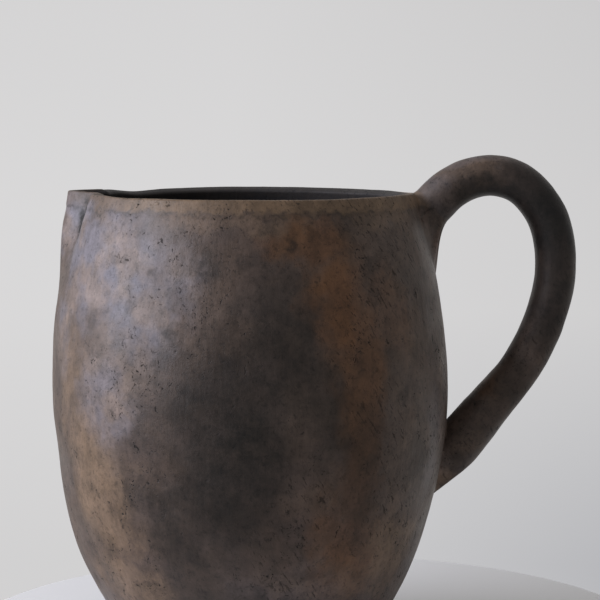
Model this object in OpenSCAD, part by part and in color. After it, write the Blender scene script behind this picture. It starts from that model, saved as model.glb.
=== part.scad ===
// Hand-built clay jug: a coil-built egg-shaped body with a pinched pouring beak and a
// rolled handle. Millimetres, +Z up, origin at the centre of the foot's resting face.
// The handle is on the +X side and the beak on the -X side.

/* [Body] */
// Diameter at the widest line of the belly
belly_d = 170; // [150:1:190]
// Height of the widest line above the foot
belly_z = 113; // [108:1:118]
// Height of the rim above the foot
rim_z = 198; // [192:1:204]
// Vertical half-axis of the egg below the belly line
lower_half = 135; // [130:1:150]
// Vertical half-axis of the egg above the belly line
upper_half = 153; // [140:1:170]
// Wall thickness just above the floor
foot_wall_t = 7; // [6:0.5:8]
// Wall thickness at the rim
rim_wall_t = 5.5; // [4.5:0.5:6.5]

/* [Floor] */
// Thickness of the floor slab
floor_t = 8; // [7:0.5:9]
// Rounding of the foot's outer edge
foot_edge_r = 3; // [2:0.5:4]
// Size of the clay coil pressed into the inside corner of the floor
seam_coil = 7; // [5:0.5:9]

/* [Coils] */
// Height of the rim coil
rim_coil_h = 10; // [8:1:12]
// Drop of the bevelled joint from the inside of the wall to its outside
scarf = 4; // [2:0.5:6]

/* [Beak] */
// How far the beak's tip stands out past the rim's circle
beak_reach = 6.3; // [4:0.1:8]
// Width of the beak, as an angle round the rim
beak_width = 6; // [5:0.5:7]
// How deep the rim is pinched in on each side of the beak
pinch_depth = 3; // [1:0.1:3.5]
// Angle from the beak's tip to the middle of each pinch
pinch_at = 9; // [8:0.5:12]
// Width of each pinch, as an angle round the rim
pinch_width = 3.2; // [2.6:0.1:4.4]
// How far the lip is drawn up at the beak
beak_rise = 1.5; // [0:0.1:3]
// Half of the angle that the beak's piece of wall takes up
beak_half = 34; // [32:1:36]

/* [Handle] */
// Diameter of the rolled coil at its middle
handle_d = 17.7; // [16:0.1:19]
// Diameter where the coil is pressed to the lower wall
handle_foot_d = 20.4; // [18:0.1:22]
// Diameter where the coil leaves the rim
handle_root_d = 18.7; // [17:0.1:20]
// Distance from the jug's axis to the middle of the lower end
handle_foot_x = 84; // [82:0.5:86]
// Height of the middle of the lower end
handle_foot_z = 80.5; // [77:0.5:84]
// Angle at which the coil leaves the lower wall
handle_heading = 50; // [48:0.5:52]
// Length of the straight stretch above the lower end
handle_leg = 43.5; // [40:0.5:47]
// Slope of the pressed cut under the lower end
bevel_angle = 37.8; // [30:0.2:45]

/* [Luting] */
// How far the root's clay is spread along the coil
luting_reach = 9; // [7:0.5:11]
// How far it is spread sideways over the wall
luting_spread = 6; // [4:0.5:8]
// How far its tail runs down the wall under the coil
luting_tail = 5; // [3:0.5:7]
// Width of the clay worked round the lower end
foot_luting = 4; // [3:0.5:5]

/* [Hidden] */
// Number of wall coils between the floor and the rim coil.
courses = 5;
COURSE_NODES = [for (i = [1:courses]) str("wall_course_", i)];

belly_r = belly_d / 2;
course_h = (rim_z - rim_coil_h - floor_t) / courses;
neck_z = rim_z - rim_coil_h - course_h;
beak_drop = rim_z - neck_z;
$fn = 180;
profile_steps = 9;
lip_steps = 6;
beak_steps = 34;
tube_sides = 24;
tube_step = 3.2;
leg_steps = 14;
root_steps = 5;
embed = 8;
edge_t = 0.5;
cut_reach = 60;

// How far round the beak its lip takes to rise, in degrees.
rise_run = 12;
// Where the seam coil's hollow face is drawn to, as a share of the coil's size.
seam_hollow = [0.55, 0.62];
// How closely the luting follows the corner between the coil and the wall, from 0 to 1.
luting_hug = 0.8;
// Upper corner of the pressed cut, from the middle of the lower end.
heel_offset = [9.8, -3.8];
clay_brown = "#4b3d33";
clay_umber = "#57463a";
clay_smoke = "#3a3532";
clay_luting = "#4f443b";

// Bends of the handle from its lower leg upwards, each as [bend radius, turn in degrees].
handle_bends = [[93, 29.5], [59, 22], [38, 34], [24, 39], [28, 31], [34, 20]];

// ---- the egg-shaped wall, as curves of the height z ----

function half_axis(z) = z < belly_z ? lower_half : upper_half;
function egg_r(z) = belly_r * sqrt(1 - pow((z - belly_z) / half_axis(z), 2));
function egg_slope(z) = -pow(belly_r / half_axis(z), 2) * (z - belly_z) / egg_r(z);
function egg_normal(z) = let (n = [1, -egg_slope(z)]) n / norm(n);
function wall_t(z) = foot_wall_t + (rim_wall_t - foot_wall_t) * z / rim_z;
function outer_at(z) = [egg_r(z), z];
function inner_at(z) = outer_at(z) - wall_t(z) * egg_normal(z);

// The z at which the inner face is level with the given height.
function inner_z(height, z = 0, tries = 12) =
    tries == 0 ? z : inner_z(height, z + height - inner_at(z)[1], tries - 1);

function curve_out(z0, z1) = [for (i = [0:profile_steps]) outer_at(z0 + (z1 - z0) * i / profile_steps)];
function curve_in(z0, z1) = [for (i = [0:profile_steps]) inner_at(z0 + (z1 - z0) * i / profile_steps)];

// Top of joint number i, counted from the floor: the outside is lower than the inside.
function joint_z(i) = floor_t + i * course_h;
function joint_out(i) = joint_z(i) - (i > 0 ? scarf / 2 : 0);
function joint_in(i) = i > 0 ? joint_z(i) + scarf / 2 : inner_z(floor_t);

// ---- the lip: a half-round on the wall's middle line ----

lip_normal = egg_normal(rim_z);
lip_z = rim_z - rim_wall_t / 2 * (1 - lip_normal[1]);
lip_centre = outer_at(lip_z) - egg_normal(lip_z) * wall_t(lip_z) / 2;
function lip_point(a) =
    let (n = egg_normal(lip_z), up = [-n[1], n[0]])
    lip_centre + wall_t(lip_z) / 2 * (cos(a) * n + sin(a) * up);
lip = [for (i = [1:lip_steps - 1]) lip_point(180 * i / lip_steps)];

function course_section(i) =
    concat(curve_out(joint_out(i - 1), joint_out(i)), curve_in(joint_in(i), joint_in(i - 1)));
function rim_section() =
    concat(curve_out(joint_out(courses), lip_z), lip, curve_in(lip_z, joint_in(courses)));
function beak_section() =
    concat(curve_out(joint_out(courses - 1), lip_z), lip, curve_in(lip_z, joint_in(courses - 1)));

// ---- the beak: the wall pushed out at the tip, in beside it, and up at the lip ----

function bump(a, at, width) = exp(-pow((a - at) / width, 2));
function ease(t) = let (u = min(1, max(0, t))) u * u * (3 - 2 * u);
function pushed(a, share) = beak_reach * bump(a, 0, beak_width) * share
    - pinch_depth * bump(abs(a), pinch_at, pinch_width) * pow(share, 2);
function raised(a) = beak_rise * ease((beak_half - abs(a)) / rise_run);
function beak_point(p, a) =
    let (share = ease((p[1] - neck_z) / beak_drop))
    let (r = p[0] + pushed(a, share))
    [-r * cos(a), -r * sin(a), p[1] + raised(a) * pow(share, 3)];

// A solid through a row of closed sections that all have the same number of points.
module loft(sections) {
    n = len(sections[0]);
    last = len(sections) - 1;
    polyhedron(
        points = [for (s = sections) each s],
        faces = concat(
            [[for (j = [n - 1:-1:0]) j]],
            [for (i = [0:last - 1], j = [0:n - 1])
                each let (a = i * n + j, b = i * n + (j + 1) % n)
                [[a, b, a + n], [b, b + n, a + n]]],
            [[for (j = [0:n - 1]) last * n + j]]));
}

module spout_beak() {
    section = beak_section();
    color(clay_umber)
        loft([for (i = [0:beak_steps])
            let (a = beak_half * (2 * i / beak_steps - 1))
            [for (p = section) beak_point(p, a)]]);
}

// ---- floor, courses and rim ----

module base_slab() {
    corner = [egg_r(0) - foot_edge_r, foot_edge_r];
    section = concat([[0, 0]],
        [for (i = [0:lip_steps]) let (a = -90 + 80 * i / lip_steps)
            corner + foot_edge_r * [cos(a), sin(a)]],
        [outer_at(floor_t / 2), outer_at(floor_t), [0, floor_t]]);
    color(clay_brown)
        rotate_extrude() polygon(section);
}

// A thin coil that rounds the inside corner between the floor and the first course.
module base_seam_coil() {
    low = inner_z(floor_t);
    top = inner_at(low + seam_coil);
    bottom = [inner_at(low)[0] - seam_coil, floor_t];
    hollow = top - seam_coil * seam_hollow;
    section = concat(
        [for (i = [0:lip_steps]) let (t = i / lip_steps)
            pow(1 - t, 2) * bottom + 2 * t * (1 - t) * hollow + t * t * top],
        [for (i = [lip_steps - 1:-1:0]) inner_at(low + seam_coil * i / lip_steps)]);
    color(clay_smoke)
        rotate_extrude() polygon(section);
}

module wall_course(i) {
    opening = i == courses ? beak_half : 0;
    color(i % 2 == 0 ? clay_umber : clay_brown)
        rotate([0, 0, opening - 180])
            rotate_extrude(angle = 360 - 2 * opening) polygon(course_section(i));
}

module rim_coil() {
    color(clay_umber)
        rotate([0, 0, beak_half - 180])
            rotate_extrude(angle = 360 - 2 * beak_half) polygon(rim_section());
}

// Everything inside the wall's outer face, used to trim what is pressed on to it.
module wall_core() {
    above = 2 * rim_z;
    rotate_extrude()
        polygon(concat([[0, 0]], curve_out(0, joint_out(1)),
            [for (i = [1:courses - 1]) each curve_out(joint_out(i), joint_out(i + 1))],
            curve_out(joint_out(courses), lip_z),
            [for (i = [1:lip_steps / 2]) lip_point(180 * i / lip_steps)],
            [[lip_point(90)[0], above], [0, above]]));
}

// ---- the handle: a round coil swept along straights and bends in the XZ plane ----

function arc_point(p, heading, r, turn) =
    p + r * [sin(heading + turn) - sin(heading), cos(heading) - cos(heading + turn)];

// Stations [x, z, heading] along the bends, from station s onwards.
function bend_path(bends, p, heading, k = 0) =
    k == len(bends) ? [] :
    let (r = bends[k][0], turn = bends[k][1], n = ceil(r * turn * PI / 180 / tube_step))
    concat(
        [for (i = [1:n]) let (q = arc_point(p, heading, r, turn * i / n))
            [q[0], q[1], heading + turn * i / n]],
        bend_path(bends, arc_point(p, heading, r, turn), heading + turn, k + 1));

function straight_path(p, heading, from, to, n) =
    [for (i = [0:n]) let (d = from + (to - from) * i / n)
        [p[0] + d * cos(heading), p[1] + d * sin(heading), heading]];

leg_start = [handle_foot_x, handle_foot_z];
leg_end = leg_start + handle_leg * [cos(handle_heading), sin(handle_heading)];
bent = bend_path(handle_bends, leg_end, handle_heading);
root_station = bent[len(bent) - 1];
root_run = (root_station[0] - egg_r(root_station[1] - handle_d / 2)) / cos(root_station[2] - 180);
handle_path = concat(
    straight_path(leg_start, handle_heading, -embed, handle_leg, leg_steps),
    bent,
    straight_path(root_station, root_station[2], tube_step, root_run + embed, root_steps));
handle_last = len(handle_path) - 1;

// Radius of the coil at station i: it swells over some stations at both ends.
function coil_r(i) =
    let (foot = ease(1 - (i - 3) / (leg_steps + 2)), root = ease(1 - (handle_last - i) / (2 * root_steps)))
    (handle_d + (handle_foot_d - handle_d) * foot + (handle_root_d - handle_d) * root) / 2;

// The ring of the coil's skin at station i, or a wider one.
function coil_ring(i, wider = 0) =
    let (s = handle_path[i], r = coil_r(i) + wider)
    [for (j = [0:tube_sides - 1]) let (a = 360 * j / tube_sides)
        [s[0] + r * cos(a) * sin(s[2]), -r * sin(a), s[1] - r * cos(a) * cos(s[2])]];

module coil_tube(first, last) {
    loft([for (i = [first:last]) coil_ring(i)]);
}

// The slanting cut pressed under the lower end.
module bevel_cut() {
    heel = leg_start + heel_offset;
    translate([heel[0], 0, heel[1]])
        rotate([0, -bevel_angle, 0])
            translate([-cut_reach, -cut_reach / 2, -cut_reach])
                cube([2 * cut_reach, cut_reach, cut_reach]);
}

module handle_coil() {
    color(clay_smoke)
        difference() {
            coil_tube(0, handle_last);
            wall_core();
            bevel_cut();
        }
}

// ---- the luting: soft clay worked round both ends of the coil ----

// Slides a point along the way until it meets the wall's outer face.
function to_wall(p, way, tries = 8) =
    tries == 0 ? p :
    to_wall(p + way * (norm([p[0], p[1]]) - egg_r(min(p[2], rim_z))) / abs(way[0]),
        way, tries - 1);

// The point of the wall's outer face at the given y and z, pushed out by the given amount.
function on_wall(y, z, out = edge_t) =
    let (level = min(z, lip_z)) [sqrt(pow(egg_r(level) + out, 2) - y * y), y, level];

// A collar round station i: it leaves the wall, hollows in, and ends on the coil's skin.
// up is 1 where the coil's outer side faces up and -1 where it faces down.
module collar(i, way, r, reach, spread, tail, up) {
    angles = [for (j = [0:tube_sides - 1]) 360 * j / tube_sides];
    h = handle_path[i][2];
    skin = [for (a = angles)
        [handle_path[i][0] + r * cos(a) * sin(h), -r * sin(a), handle_path[i][1] - r * cos(a) * cos(h)]];
    corner = [for (p = skin) to_wall(p, way)];
    foot = [for (j = [0:tube_sides - 1]) let (a = angles[j])
        on_wall(corner[j][1] - spread * sin(a),
            corner[j][2] + spread * cos(a) * up - tail * pow(max(0, -up * cos(a)), 3))];
    centre = [handle_path[i][0], 0, handle_path[i][1]];
    end = [for (j = [0:tube_sides - 1])
        corner[j] - way * reach + edge_t * (skin[j] - centre) / r];
    bend = [for (j = [0:tube_sides - 1]) corner[j] * luting_hug + (foot[j] + end[j]) * (1 - luting_hug) / 2];
    buried = [for (p = corner) [belly_r / 2, p[1], p[2]]];
    inside = [for (j = [0:tube_sides - 1]) (centre + (skin[j] - centre) / 2)];
    rings = concat([buried],
        [for (k = [0:lip_steps]) let (t = k / lip_steps)
            [for (j = [0:tube_sides - 1])
                pow(1 - t, 2) * foot[j] + 2 * t * (1 - t) * bend[j] + t * t * end[j]]],
        [inside]);
    last = len(rings) - 1;
    difference() {
        loft([for (k = [0:last]) rings[up > 0 ? last - k : k]]);
        wall_core();
        coil_tube(0, handle_last);
    }
}

module handle_root_luting() {
    turned = root_station[2];
    color(clay_luting)
        collar(handle_last - root_steps - 1, [cos(turned), 0, sin(turned)], handle_root_d / 2,
            luting_reach, luting_spread, luting_tail, 1);
}

module handle_foot_luting() {
    color(clay_luting)
        difference() {
            collar(leg_steps, [-cos(handle_heading), 0, -sin(handle_heading)], handle_foot_d / 2,
                foot_luting * 1.5, foot_luting, 0, -1);
            bevel_cut();
        }
}

base_slab();
base_seam_coil();
for (i = [1:courses]) wall_course(i);
rim_coil();
spout_beak();
handle_coil();
handle_root_luting();
handle_foot_luting();
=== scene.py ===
"""Hand-built clay jug: burnished, smoke-fired earthenware, with a pinched beak and a rolled handle."""

import math
from functools import partial

import bpy
import numpy as np
from bpy.props import FloatProperty, FloatVectorProperty, IntProperty, PointerProperty
from bpy.types import NodeSocket, NodeSocketColor, Operator, Panel, PropertyGroup
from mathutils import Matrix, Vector
from mathutils.bvhtree import BVHTree


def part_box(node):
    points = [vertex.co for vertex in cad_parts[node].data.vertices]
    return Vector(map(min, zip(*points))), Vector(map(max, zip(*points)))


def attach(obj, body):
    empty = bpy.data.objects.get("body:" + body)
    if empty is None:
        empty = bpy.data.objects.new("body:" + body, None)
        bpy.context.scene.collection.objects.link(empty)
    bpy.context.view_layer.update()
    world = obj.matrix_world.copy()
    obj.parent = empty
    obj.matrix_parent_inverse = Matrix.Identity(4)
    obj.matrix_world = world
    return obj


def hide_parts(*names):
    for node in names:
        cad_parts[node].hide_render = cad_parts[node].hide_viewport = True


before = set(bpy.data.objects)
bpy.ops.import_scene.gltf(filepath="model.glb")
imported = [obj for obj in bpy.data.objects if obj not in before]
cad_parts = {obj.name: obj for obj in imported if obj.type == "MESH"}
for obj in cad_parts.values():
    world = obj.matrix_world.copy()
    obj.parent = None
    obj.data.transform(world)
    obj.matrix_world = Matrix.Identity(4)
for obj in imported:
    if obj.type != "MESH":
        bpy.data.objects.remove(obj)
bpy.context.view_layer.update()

bl_info = {
    "name": "Burnished Clay Jug",
    "version": (1, 0, 0),
    "blender": (4, 5, 0),
    "location": "View3D > Sidebar > Clay Jug",
    "description": "Coil-built, smoke-fired clay jug with a pinched beak and a rolled handle",
    "category": "Add Mesh",
}

MM = 0.001
# How a mix node is set to mix colours.
COLOUR_MIX = {"out": 2, "data_type": "RGBA"}
# From the lip down to where its painted highlight band fades in.
RIM_HIGHLIGHT_BAND = 4 * MM
COURSES = sorted(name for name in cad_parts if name.startswith("wall_course_"))


def lowest(node):
    """Height of a CAD node's lowest point."""
    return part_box(node)[0][2]


def highest(node):
    """Height of a CAD node's highest point."""
    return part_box(node)[1][2]


def widest(node):
    """Half of a CAD node's width across the jug."""
    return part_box(node)[1][1]


def length_mm(name, description, value):
    """A size, given in millimetres and kept in metres."""
    return FloatProperty(name=name, description=description, default=value * MM, min=0.0,
                         unit="LENGTH", precision=5)


def angle_deg(name, description, value):
    """An angle, given in degrees and kept in radians."""
    return FloatProperty(name=name, description=description, default=math.radians(value),
                         unit="ROTATION")


def colour_hex(name, description, value):
    """A colour, given as an sRGB hex value."""
    return FloatVectorProperty(name=name, description=description, default=linear(value), size=3,
                               subtype="COLOR", min=0.0, max=1.0)


def linear(hex_colour):
    """An sRGB hex colour such as "#6b5547" as linear red, green and blue."""
    parts = [int(hex_colour[i:i + 2], 16) / 255 for i in (1, 3, 5)]
    return tuple(c / 12.92 if c <= 0.04045 else ((c + 0.055) / 1.055) ** 2.4 for c in parts)


def ease(t):
    """0 up to t = 0 and 1 from t = 1, with a smooth run between."""
    t = np.clip(t, 0.0, 1.0)
    return t * t * (3 - 2 * t)


def bump(t):
    """A bell of height 1 and width 1, centred on t = 0."""
    return np.exp(-np.square(t))


# ---------------------------------------------------------------- settings

class JugWallSettings(PropertyGroup):
    """The egg-shaped wall, its floor and its lip."""

    belly_radius: length_mm("Belly radius", "Radius at the widest line", widest(COURSES[2]) / MM)
    belly_height: length_mm("Belly height", "Height of the widest line", 113)
    lower_half: length_mm("Lower half", "Half-axis of the egg below the belly", 135)
    upper_half: length_mm("Upper half", "Half-axis of the egg above the belly", 153)
    rim_height: length_mm("Rim height", "Height of the lip", highest("rim_coil") / MM)
    foot_wall: length_mm("Wall at the foot", "Thickness above the floor", 7)
    rim_wall: length_mm("Wall at the rim", "Thickness at the lip", 5.5)
    floor: length_mm("Floor", "Thickness of the floor slab", highest("base_slab") / MM)
    foot_edge: length_mm("Foot edge", "Rounding of the foot's outer edge", 3)
    seam_coil: length_mm("Seam coil", "Clay pressed into the inside corner", 7)
    scarf: length_mm("Joint bevel", "Drop of each coil joint from inside to outside", 4)
    lip_crown: length_mm("Lip crown", "Height of the lip's rounded top", 1.7)
    band_width: length_mm("Rim band", "Width of the smoothed band under the lip", 6.2)
    band_depth: length_mm("Rim band depth", "How proud the smoothed band stands", 0.35)
    columns: IntProperty(name="Columns", description="Facets round the jug", default=720)
    cell: length_mm("Cell", "Height of a facet of the outer face", 0.8)
    inner_cell: length_mm("Inner cell", "Height of a facet of the inner face", 2)


class JugBeakSettings(PropertyGroup):
    """The pinched pouring beak."""

    reach: length_mm("Reach", "How far the tip stands past the rim's circle", 6.3)
    width: angle_deg("Width", "Width of the beak round the rim", 6)
    pinch: length_mm("Pinch", "Depth of the crease on each side", 4.2)
    pinch_at: angle_deg("Pinch angle", "From the tip to the middle of each crease", 12.5)
    pinch_width: angle_deg("Pinch width", "Width of each crease round the rim", 4.2)
    rise: length_mm("Rise", "How far the lip is drawn up at the beak", 1.1)
    rise_from: angle_deg("Rise from", "Where the lip starts to rise, from the tip", 46)
    rise_run: angle_deg("Rise run", "Turn that the lip takes to rise", 19)
    drop: length_mm("Drop", "How far down the wall the beak fades out", 46)
    thinning: length_mm("Thinning", "Clay drawn out of the wall at the tip", 2)
    half_angle: angle_deg("Half angle", "Half of the beak's share of the wall", 34)


class JugSkinSettings(PropertyGroup):
    """The relief that burnishing leaves, and the pores of burnt-out grit."""

    dent_depth: length_mm("Dent depth", "Height range of the soft dents", 0.6)
    dent_size: length_mm("Dent size", "Width of the soft dents", 24)
    stroke_depth: length_mm("Stroke depth", "Height range of the burnishing strokes", 0.12)
    stroke_width: length_mm("Stroke width", "Width of a burnishing stroke", 4.5)
    pore_depth: length_mm("Pore depth", "Depth of a pore", 0.16)
    pore_radius: length_mm("Pore radius", "Radius of a pore", 0.7)
    pore_density: FloatProperty(name="Pore density", default=16000,
                                description="Pores on a square metre where they crowd")
    seed: IntProperty(name="Seed", description="Picks the pores' places", default=7)


class JugHandleSettings(PropertyGroup):
    """The rolled coil and its luting."""

    diameter: length_mm("Diameter", "Thickness of the coil at its middle", 17.7)
    foot_diameter: length_mm("Foot diameter", "Thickness at the lower joint", 20.9)
    root_diameter: length_mm("Root diameter", "Thickness at the upper joint", 18.7)
    foot_x: length_mm("Foot distance", "Middle of the lower end from the axis", 84)
    foot_z: length_mm("Foot height", "Height of the lower end's middle", 80.5)
    heading: angle_deg("Heading", "Angle at which the coil leaves the lower wall", 50)
    leg: length_mm("Leg", "Straight stretch above the lower end", 43.5)
    bevel: angle_deg("Bevel", "Slope of the pressed cut under the lower end", 34.5)
    heel_x: length_mm("Heel X", "Upper corner of that cut, out from the lower end's middle", 9.5)
    heel_drop: length_mm("Heel drop", "How far that corner lies below the lower end's middle", 2.6)
    softness: length_mm("Cut softness", "Rounding of the cut's edges", 0.8)
    dent_size: length_mm("Dent size", "Width of the coil's soft dents", 17)
    dent_depth: length_mm("Dent depth", "Height range of the coil's soft dents", 0.9)
    step: length_mm("Ring step", "Distance between the coil's rings", 0.8)
    sides: IntProperty(name="Sides", description="Facets round the coil", default=88)


class JugLutingSettings(PropertyGroup):
    """The soft clay worked round the handle's ends."""

    spread: length_mm("Spread", "How far it is spread sideways over the wall", 10)
    reach: length_mm("Reach", "How far it is spread along the coil", 9)
    tail: length_mm("Tail", "How much further it runs down the wall", 8.5)
    foot_spread: length_mm("Foot spread", "Width of the fillet round the lower end", 2.2)


class JugClaySettings(PropertyGroup):
    """The fired clay's colours and burnish."""

    ground_colour: colour_hex("Ground", "Plain burnished clay", "#5f5149")
    shadow_colour: colour_hex("Shadow", "Its darker drifts", "#4c3f38")
    ochre_colour: colour_hex("Ochre blush", "Where air reached the clay", "#724820")
    tan_colour: colour_hex("Tan blush", "Where the fire burnt the smoke away", "#866d56")
    # The blooms' colours also paint the window lamp's sheen on the lit side.
    ash_and_sheen_colour: colour_hex("Ash bloom and sheen", "Where ash lay on the clay", "#7f7a83")
    thin_ash_and_sheen_colour: colour_hex("Thin ash bloom and sheen", "Where the ash was thin", "#90807a")
    # Also the colour of the painted shade in the beak's creases.
    smoke_and_shade_colour: colour_hex("Smoke cloud", "Where smoke blackened the clay", "#231f1d")
    # The rim band's colour paints a highlight along the lip's curved top.
    rim_highlight_colour: colour_hex("Rim band", "Painted highlight along the lip", "#826a52")
    soot_colour: colour_hex("Inside", "Smoked and unpolished clay inside", "#202125")
    handle_colour: colour_hex("Handle", "The handle's coil", "#393230")
    # Also the colour of the handle's painted shade.
    handle_smoke_and_shade_colour: colour_hex("Handle smoke and shade", "The handle's blackest side", "#121111")
    foot_colour: colour_hex("Foot", "Clay rubbed dull under the foot", "#6e5f53")
    polish: FloatProperty(name="Roughness", description="Roughness of the burnished face", default=0.46,
                          min=0.0, max=1.0)


class JugStageSettings(PropertyGroup):
    """The camera's place and the lamps."""

    distance: length_mm("Camera distance", "From the jug's axis", 880)
    height: length_mm("Camera height", "Above the foot", 235.6)
    aside: length_mm("Camera offset", "To the right of the jug's axis", 21.8)
    azimuth: angle_deg("Camera azimuth", "Round the jug, from the -Y side", -3)
    pitch: angle_deg("Camera pitch", "Down from the horizon", 5.43)
    lens: FloatProperty(name="Lens", description="Focal length in millimetres", default=122.7)
    plinth_radius: length_mm("Plinth radius", "Radius of the pale round floor", 158)
    plinth_x: length_mm("Plinth X", "Its middle from the jug's axis, on the handle's side", 27)
    plinth_y: length_mm("Plinth Y", "Its middle from the jug's axis, away from the camera", 22.5)


# ---------------------------------------------------------------- small tools

def add(tree, kind, *values, out=0, **settings):
    """Adds a node to a tree and gives one of its outputs.

    kind is the node's kind, with its operation after a space. Each value fills or links the next
    of its inputs. None leaves an input alone, and a dictionary names or numbers the inputs.
    """
    kind, _, operation = kind.partition(" ")
    whole_name = kind.startswith(("GeometryNode", "NodeGroup"))
    node = tree.nodes.new(kind if whole_name else f"ShaderNode{kind}")
    if operation:
        node.operation = operation
    for key, value in settings.items():
        setattr(node, key, value)
    filled = {}
    for key, value in enumerate(values):
        filled.update(value if isinstance(value, dict) else {key: value})
    for key, value in filled.items():
        socket = node.inputs[key]
        if isinstance(value, NodeSocket):
            tree.links.new(value, socket)
        elif isinstance(socket, NodeSocketColor):
            socket.default_value = (*value[:3], 1)
        elif value is not None:
            socket.default_value = value
    return node.outputs[out] if node.outputs else node


def plain_mesh(name, points, faces, normals=None):
    """A smooth-shaded mesh object at the origin, with a normal for each face corner if given."""
    mesh = bpy.data.meshes.new(name)
    mesh.from_pydata(points, [], faces)
    mesh.update()
    mesh.shade_smooth()
    if normals is not None:
        mesh.normals_split_custom_set(normals)
    piece = bpy.data.objects.new(name, mesh)
    bpy.context.scene.collection.objects.link(piece)
    return piece


def vertex_rows(vectors, label):
    """A mesh's vertices or vertex normals as rows of three numbers."""
    rows = np.empty(len(vectors) * 3, dtype=np.float32)
    vectors.foreach_get(label, rows)
    return rows.reshape(-1, 3).astype(float)


def store(piece, label, values):
    """Stores one number for each vertex of a piece, for its clay to read."""
    piece.data.attributes.new(label, "FLOAT", "POINT").data.foreach_set("value", values)


def finish_piece(piece, material, node):
    """Gives a piece its clay, hides the CAD node that it stands for, and gives it its body."""
    piece.data.materials.clear()
    piece.data.materials.append(material)
    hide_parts(node)
    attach(piece, "root")


# ---------------------------------------------------------------- the wall

# Swellings and hollows that the hands left, as degrees from the handle, height, half width
# in degrees, half height and depth. Heights and depths are in millimetres.
HAND_MARKS = (
    (0, 112, 50, 26, 0.9), (-25, 62, 30, 16, -0.5), (180, 88, 40, 13, -0.8), (184, 46, 36, 15, 0.9),
    (176, 146, 34, 18, 0.5), (180, 191, 12, 5, -0.5), (180, 200, 10, 3, 0.6), (-120, 120, 24, 20, 0.4),
    (-88, 96, 20, 18, -0.4), (-60, 140, 22, 22, 0.35), (-105, 62, 26, 16, 0.4),
    (-75, 172, 26, 12, -0.35), (-135, 168, 20, 14, -0.4), (-40, 178, 20, 12, 0.3),
    (60, 128, 28, 20, 0.5), (95, 90, 22, 18, -0.5), (128, 150, 26, 20, 0.45), (75, 58, 26, 14, 0.4),
    (110, 178, 24, 12, -0.3), (30, 160, 18, 14, -0.3), (150, 108, 18, 16, -0.35),
)
# Where the lip rises or dips, in the same form.
LIP_MARKS = (
    (139, 200, 14, 9, -1.2), (118, 200, 18, 9, -0.4), (-141, 200, 12, 9, -0.25), (35, 200, 22, 9, -0.5),
    (12, 200, 14, 9, -0.6), (-20, 200, 18, 9, 0.3), (-70, 200, 20, 9, -0.2), (70, 200, 40, 9, -0.25),
    (157, 200, 9, 9, -0.6), (-158, 200, 13, 9, -0.9),
)

# Rings of the floor's faces, and steps round the lip and down the seam's coil.
FLOOR_RINGS = 14
LIP_STEPS = 20
SEAM_STEPS = 10


def egg_radius(wall, z):
    """Outer radius of the wall at height z."""
    half = np.where(z < wall.belly_height, wall.lower_half, wall.upper_half)
    return wall.belly_radius * np.sqrt(1 - np.square((z - wall.belly_height) / half))


def egg_normal(wall, z):
    """Outward direction of the wall at height z, as radial and upward parts."""
    half = np.where(z < wall.belly_height, wall.lower_half, wall.upper_half)
    slope = -np.square(wall.belly_radius / half) * (z - wall.belly_height) / egg_radius(wall, z)
    length = np.sqrt(1 + slope * slope)
    return np.array([1 / length, -slope / length])


def wall_thickness(wall, z):
    """The wall's thickness at height z, thinner towards the rim."""
    return wall.foot_wall + (wall.rim_wall - wall.foot_wall) * z / wall.rim_height


def outer_point(wall, z):
    """Radius and height of the outer face at height z."""
    return np.array([float(egg_radius(wall, z)), z])


def inner_point(wall, z):
    """Radius and height of the inner face's point that faces the outer one at height z."""
    return outer_point(wall, z) - wall_thickness(wall, z) * egg_normal(wall, z)


def inner_z(wall, height):
    """The z whose inner point is level with the given height."""
    z = height
    for _ in range(12):
        z += height - inner_point(wall, z)[1]
    return z


def stretch(curve, start, end, cell):
    """Points of curve(z) from start up to end, without the last, about a cell apart."""
    count = max(1, math.ceil(abs(end - start) / cell))
    return [curve(start + (end - start) * k / count) for k in range(count)]


def joint_heights(wall):
    """Outer and inner z of each coil joint, from the floor's joint up."""
    top = lowest("rim_coil") + wall.scarf
    levels = [wall.floor + (top - wall.scarf / 2 - wall.floor) * k / len(COURSES)
              for k in range(len(COURSES) + 1)]
    outer = [levels[0]] + [z - wall.scarf / 2 for z in levels[1:]]
    inner = [inner_z(wall, wall.floor)] + [z + wall.scarf / 2 for z in levels[1:]]
    return outer, inner


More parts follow.
